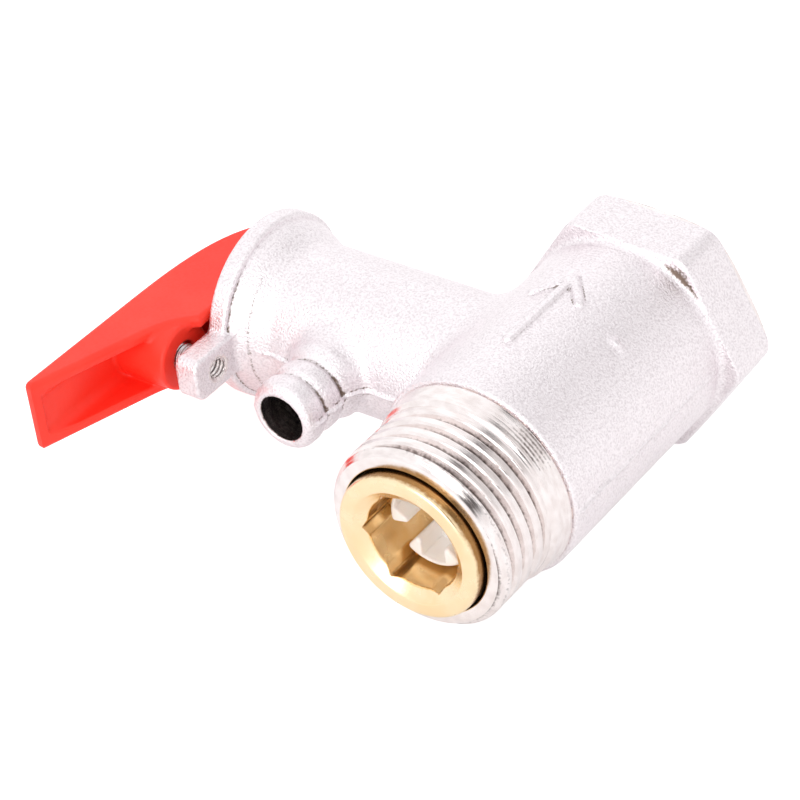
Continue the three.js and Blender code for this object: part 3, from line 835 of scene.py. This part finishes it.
def insert_field(x, y, z):
    """The brass insert: a ring with an O-ring groove, a conical mouth and the six sides for a key."""
    run = np.hypot(x, z)
    ring = disc(run, y, INSERT_RADIUS, INSERT_FACE, INSERT_END, 0.5)
    ring = rounded_cut(ring, np.maximum(INSERT_RADIUS - 1 - run, between(y, -39.9, -38.7)), 0.08)
    ring = rounded_cut(ring, run - INSERT_BORE, 0.05)
    mouth = (run - INSERT_BORE) * 0.6 - (INSERT_FACE + 1 - y) * 0.8
    ring = rounded_cut(ring, mouth, 0.08)
    key = np.maximum(hexagon(x, z, KEY_FLATS, 0, 0.05), y - KEY_END)
    return rounded_cut(ring, key, 0.06)


def leg_field(x, y, z, degrees):
    """One leg of the poppet, with a pocket in the middle of its end."""
    middle = math.radians(degrees)
    along = x * math.cos(middle) + z * math.sin(middle)
    across = np.abs(z * math.cos(middle) - x * math.sin(middle))
    run = np.hypot(x, z)
    half = math.radians(42)
    sides = across * math.cos(half) - along * math.sin(half)
    leg = rounded_overlap(sides, np.maximum(run - 4.75, 2.7 - run), 0.4)
    leg = rounded_overlap(leg, between(y, LEG_TIP, -35), 0.35)
    pocket = np.maximum(across - 1.4, y - POCKET_FLOOR)
    return rounded_cut(leg, np.maximum(pocket, run - 4.3), 0.2)


def poppet_field(x, y, z):
    """The poppet: a head, its wider seat, a stem into the guide and three legs in the insert."""
    run = np.hypot(x, z)
    solid = disc(run, y, 4.8, -37.3, -35, 0.3)
    solid = rounded_union(solid, disc(run, y, 6.2, -35.8, -33.9, 0.4), 0.2)
    solid = rounded_union(solid, disc(run, y, CHECK_STEM, -35, -25.4, 0.3), 0.6)
    for number in range(3):
        solid = rounded_union(solid, leg_field(x, y, z, FIRST_LEG + 120 * number), 0.15)
    return solid


def guide_field(x, y, z):
    """The guide that the poppet's stem slides in: a rim, a hub and three spokes."""
    run = np.hypot(x, z)
    rim = np.maximum(disc(run, y, 6.9, -27, -24.8, 0.15), 5.7 - run)
    solid = rounded_union(rim, disc(run, y, 3.9, -27, -24.8, 0.3), 0.1)
    for number in range(3):
        angle = 2 * math.pi * number / 3
        along = x * math.cos(angle) - z * math.sin(angle)
        across = x * math.sin(angle) + z * math.cos(angle)
        spoke = block(along, y, across, (0, -27, -0.8), (6.3, -24.8, 0.8), 0.15)
        solid = rounded_union(solid, spoke, 0.4)
    return rounded_cut(solid, run - CHECK_STEM - 0.3, 0.15)


def insert_bore(x, y, z):
    """True inside the insert, behind its mouth. These faces take the brass in painted shade."""
    return (np.hypot(x, z) < INSERT_BORE + 0.6) & (y > INSERT_FACE + 0.9)


def leg_pockets(x, y, z):
    """True between the poppet's legs and in their pockets, which take the plastic with painted light."""
    return (np.hypot(x, z) < 4.35) & (y > LEG_TIP + 0.4) & (y < POCKET_FLOOR + 0.3)


def insert_painted_shade(x, y, z):
    """Painted shade and reflection: the insert's rim is darker towards +X and +Z."""
    return 1.4 * ramp(np.hypot(x, z), 7.8, INSERT_RADIUS) * ramp(x + z, -4, 3)


def spring(name, radius, wire, start, end, turns, body, branch, node):
    """A wound wire about the run, or about the branch, with its turns closer at the two ends."""
    count = int(turns * 30)
    around = 10
    t = np.linspace(0, 1, count)
    angle = 2 * math.pi * turns * t
    low, high = start + wire / 2, end - wire / 2
    height = low + (high - low) * (t - 0.35 * np.sin(2 * math.pi * t) / (2 * math.pi))
    spin = np.linspace(0, 2 * math.pi, around, endpoint=False)
    out = radius + wire / 2 * np.cos(spin)[None, :]
    up = height[:, None] + wire / 2 * np.sin(spin)[None, :]
    points = np.stack([out * np.cos(angle)[:, None], up, out * np.sin(angle)[:, None]], 2).reshape(-1, 3)
    faces = rows_to_faces(count, around, False).tolist()
    faces += flat_ends(count, around)
    if branch:
        points = to_branch(points)
    return new_piece(name, points, faces, body, [STEEL], [node], sharp=180)


def check_valve():
    carve("brass_insert", insert_field, (-8.7, -47.3, -8.7), (8.7, -37, 8.7), 0.16,
          "body", [BRASS, SHADED_BRASS], ["check_retainer"], insert_bore, insert_painted_shade)
    carve("poppet", poppet_field, (-6.7, -43.4, -6.7), (6.7, -24.9, 6.7), 0.17,
          "check_poppet", [WHITE, SHADED_WHITE], ["check_poppet"], leg_pockets)
    carve("poppet_guide", guide_field, (-7.4, -27.5, -7.4), (7.4, -24.3, 7.4), 0.2,
          "body", [WHITE], ["check_guide"])
    wound = spring("wound_check_spring", 3.2, 0.7, -33.6, -27.3, 4.5, "body", False, "check_spring")
    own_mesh(wound)


# ------------------------------------------------------------------ relief valve


def stem_field(x, y, z):
    """The relief stem, with a hole across its outer end for the pin."""
    branch = np.hypot(y - BRANCH_Y, z)
    out = -x
    rod = rounded_union(disc(branch, out, 1.5, 18.4, 32, 0.1), disc(branch, out, 2, 31.2, 43.6, 0.35), 0.1)
    return rounded_cut(rod, np.hypot(x - PIN_X, y - BRANCH_Y) - PIN_RADIUS - 0.3, 0.12)


def plug_field(x, y, z):
    """The adjuster plug, with two holes for a pin spanner."""
    branch = np.hypot(y - BRANCH_Y, z)
    out = -x
    plug = disc(branch, out, 6.9, 33, 38, 0.35)
    plug = rounded_cut(plug, branch - 2.3, 0.15)
    plug = rounded_cut(plug, disc(branch, out, 3.7, 30, 35.1, 0.1), 0.1)
    for side in (-4.9, 4.9):
        hole = disc(np.hypot(y - BRANCH_Y, z - side), out, 0.8, 36, 40, 0.1)
        plug = rounded_cut(plug, hole, 0.12)
    return plug


def relief_valve():
    carve("stem", stem_field, (-44.1, BRANCH_Y - 2.5, -2.5), (-18, BRANCH_Y + 2.5, 2.5), 0.2,
          "stem", [BRASS], ["relief_stem"])
    carve("plug", plug_field, (-38.5, BRANCH_Y - 7.4, -7.4), (-32.5, BRANCH_Y + 7.4, 7.4), 0.2,
          "body", [BRASS], ["adjuster_plug"])
    half = LEVER_HALF - 0.4
    pin = [(0, -half), (PIN_RADIUS, -half), (PIN_RADIUS, half), (0, half)]
    points, faces = lathe(softened(pin, 0.15)[1:-1], 48)
    points = np.stack([points[:, 0] + PIN_X, BRANCH_Y - points[:, 2], points[:, 1]], 1)
    new_piece("cross_pin", points, faces, "stem", [STEEL], ["lever_pin"])
    wound = spring("wound_relief_spring", 4.5, 1, 19.8, 31.7, 6.5, "body", True, "relief_spring")
    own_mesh(wound)


# ------------------------------------------------------------------ lever and lock screw


def lever_side():
    """The lever's outline, seen along Z: heel, spine, tail, tapering edge, arch over the lug and foot."""
    heel = arc((HINGE_X, HINGE_Y), HEEL_RADIUS, 0, 129.6)
    spine = bezier([heel[-1], (-46.9, -12.7), (SPINE_X, -19.5), (SPINE_X, -30.5)], 20)
    tail = bezier([(SPINE_X, TAIL_Y + 0.9), (SPINE_X, TAIL_Y), (SPINE_X + 0.8, TAIL_Y)], 5)
    arch = bezier([(-42.5, -35.4), (-41.4, -31.9), (LEVER_FOOT_X, -30.1)], 12)
    return [*heel, *spine, (SPINE_X, TAIL_Y + 0.9), *tail, (-46.8, TAIL_Y), (-42.5, -35.4), *arch]


LEVER_SIDE = lever_side()


def lever_field(x, y, z):
    """The lever: a hollow shell, open towards the valve, with a boss for the screw and a pin slot."""
    side = polygon(x, y, LEVER_SIDE)
    shell = rounded_overlap(side, np.abs(z) - LEVER_HALF, 0.6)
    inner_side = polygon(x - LEVER_WALL, y, LEVER_SIDE)
    hollow = rounded_overlap(inner_side, np.abs(z) - LEVER_HALF + LEVER_WALL, 1.3)
    hollow = np.maximum(hollow, between(y, TAIL_Y + 1.1, -13.5))
    well = block(x, y, z, (-44, -28.5, -2.95), (-30, -13.5, 2.95), 0.3)
    shell = rounded_cut(shell, np.minimum(hollow, well), 0.25)
    around = np.hypot(y - SCREW_Y, z)
    shell = rounded_union(shell, disc(around, x, BOSS_RADIUS, -47.4, BOSS_END, 0.4), 0.5)
    shell = rounded_cut(shell, around - SCREW_RADIUS - 0.3, 0.2)
    shell = rounded_cut(shell, np.maximum(around - SCREW_HEAD_RADIUS - 0.3, x + 46), 0.15)
    low_y = BRANCH_Y - 1.1
    slot = np.hypot(x - PIN_X, y - np.clip(y, low_y, BRANCH_Y)) - PIN_RADIUS - 0.3
    return rounded_cut(shell, slot, 0.15)


def lock_screw_field(x, y, z):
    """The lock screw: a cross slot in its head, a threaded shank and a plain tip."""
    out = -x
    around = np.hypot(y - SCREW_Y, z)
    turn = np.arctan2(z, y - SCREW_Y) / (2 * math.pi)
    thread = 0.2 * groove(out / FINE_PITCH - turn, 0.95) * ramp(-out, -45, -44.7)
    shank = rounded_overlap(around - SCREW_RADIUS + thread, between(out, 39, 47), 0.1)
    tip = disc(around, out, 0.85, 36.7, 40, 0.2)
    head = disc(around, out, SCREW_HEAD_RADIUS, 46.3, 47.9, 0.45)
    screw = rounded_union(rounded_union(shank, tip, 0.1), head, 0.1)
    for low, high in (((-1.6, -0.3), (1.6, 0.3)), ((-0.3, -1.6), (0.3, 1.6))):
        bar = block(x, y - SCREW_Y, z, (-50, *low), (-47, *high), 0.1)
        screw = rounded_cut(screw, bar, 0.08)
    return screw


def lever_and_screw():
    carve("lever_moulding", lever_field, (-48.6, -49, -4.8), (-38.2, -8.9, 4.8), 0.2,
          "lever", [RED], ["lever"])
    carve("screw", lock_screw_field, (-48.3, SCREW_Y - 3, -3), (-36.2, SCREW_Y + 3, 3), 0.09,
          "lock_screw", [STEEL], ["lock_screw"])


# ------------------------------------------------------------------ what the CAD already shapes well


def finish_cad_nodes():
    looks = {"retainer_oring": RUBBER, "check_seal": RUBBER, "relief_seal": RUBBER, "stem_oring": RUBBER,
             "seal_screw": STEEL, "spring_washer": STEEL, "relief_disc": BRASS}
    for node, material in looks.items():
        piece = frame["nodes"][node]
        piece.data.materials.clear()
        piece.data.materials.append(material)


# ------------------------------------------------------------------ studio

# The camera, in degrees and metres: where it stands around AIM and how far it leans.
AZIMUTH = 39.791
ELEVATION = 36.546
ROLL = -6.888
DISTANCE = 0.29
AIM = Vector((-0.016895, -0.024701, -0.002559))

# The lamps stand around this point and face it.
MIDDLE = Vector((-0.017, -0.024, 0))
LAMP_DISTANCE = 0.6

TENT = (1.09, 1.08, 1.09)
# Each dim side of the tent: its direction, the cosines where it starts and where it is full, and its color.
DIM_SIDES = [
    ((0.24, 0.63, 0.74), 0.955, 0.995, (0.14, 0.13, 0.13)),
    ((0.55, 0.64, 0.5), 0.88, 0.99, (0.74, 0.72, 0.72)),
    ((0.53, -0.66, 0.53), 0.925, 0.985, (0.12, 0.11, 0.11)),
]


def floor():
    """A white table. The camera sees it glow a little, so that shadows stay pale."""
    mesh = bpy.data.meshes.new("floor")
    reach = 3.0
    low = cad_box[0].z - 0.0004
    corners = [(-reach, -reach, low), (reach, -reach, low), (reach, reach, low), (-reach, reach, low)]
    mesh.from_pydata(corners, [], [(0, 1, 2, 3)])
    shade = Shade("floor", (0.9, 0.9, 0.9), 0.9)
    cloud = shade.noise(90.0, 2.0, 1.0)
    shade.tint(cloud, (0.78, 0.77, 0.77), (0.82, 0.81, 0.81))
    shade.set(Emission_Color=(1, 1, 1, 1))
    seen = shade.nodes.new("ShaderNodeLightPath").outputs["Is Camera Ray"]
    shade.links.new(shade.ranged(seen, 0.2, 0.62, 0, 1), shade.shader.inputs["Emission Strength"])
    mesh.materials.append(shade.material)
    piece = bpy.data.objects.new("floor", mesh)
    bpy.context.scene.collection.objects.link(piece)


def area_light(name, place, target, size, power):
    light = bpy.data.lights.new(name, "AREA")
    light.shape = "RECTANGLE"
    light.size, light.size_y = size
    light.energy = power
    lamp = bpy.data.objects.new(name, light)
    lamp.location = place
    lamp.rotation_euler = (Vector(target) - Vector(place)).to_track_quat("-Z", "Y").to_euler()
    bpy.context.scene.collection.objects.link(lamp)


def world():
    """A white light tent with two soft dim sides, which give the metal something to reflect."""
    room = bpy.data.worlds.new("room")
    room.use_nodes = True
    nodes, links = room.node_tree.nodes, room.node_tree.links
    direction = nodes.new("ShaderNodeTexCoord").outputs["Generated"]
    color = nodes.new("ShaderNodeRGB").outputs["Color"]
    color.default_value = (*TENT, 1)
    for side, start, end, dim in DIM_SIDES:
        facing = nodes.new("ShaderNodeVectorMath")
        facing.operation = "DOT_PRODUCT"
        facing.inputs[1].default_value = Vector(side).normalized()
        links.new(direction, facing.inputs[0])
        share = nodes.new("ShaderNodeMapRange")
        share.interpolation_type = "SMOOTHSTEP"
        share.inputs["From Min"].default_value = start
        share.inputs["From Max"].default_value = end
        links.new(facing.outputs["Value"], share.inputs["Value"])
        mix = nodes.new("ShaderNodeMix")
        mix.data_type = "RGBA"
        links.new(share.outputs["Result"], mix.inputs["Factor"])
        links.new(color, mix.inputs["A"])
        mix.inputs["B"].default_value = (*dim, 1)
        color = mix.outputs["Result"]
    seen = nodes.new("ShaderNodeMix")
    seen.data_type = "RGBA"
    links.new(nodes.new("ShaderNodeLightPath").outputs["Is Camera Ray"], seen.inputs["Factor"])
    links.new(color, seen.inputs["A"])
    seen.inputs["B"].default_value = (1, 1, 1, 1)
    links.new(seen.outputs["Result"], nodes["Background"].inputs["Color"])
    bpy.context.scene.world = room


def studio():
    floor()
    world()
    area_light("key", MIDDLE + LAMP_DISTANCE * Vector((-0.52, 0.62, 0.59)), MIDDLE, (0.36, 0.36), 0.06)
    area_light("fill", MIDDLE + LAMP_DISTANCE * Vector((0.15, -0.88, 0.44)), MIDDLE, (0.4, 0.4), 1.1)
    bpy.context.scene.view_settings.view_transform = "Standard"


def camera():
    data = bpy.data.cameras.new("camera")
    data.lens = 123.57
    data.sensor_width = 36
    data.clip_start = 0.01
    data.clip_end = 20
    eye = bpy.data.objects.new("camera", data)
    turn = Matrix.Rotation(math.radians(AZIMUTH), 3, "Z")
    turn = turn @ Matrix.Rotation(math.radians(90 - ELEVATION), 3, "X")
    turn = turn @ Matrix.Rotation(math.radians(ROLL), 3, "Z")
    eye.matrix_world = Matrix.Translation(AIM + DISTANCE * turn.col[2]) @ turn.to_4x4()
    bpy.context.scene.collection.objects.link(eye)
    bpy.context.scene.camera = eye


valve_casting()
threaded_end()
threaded_port()
lug_thread()
check_valve()
relief_valve()
lever_and_screw()
finish_cad_nodes()
studio()
camera()
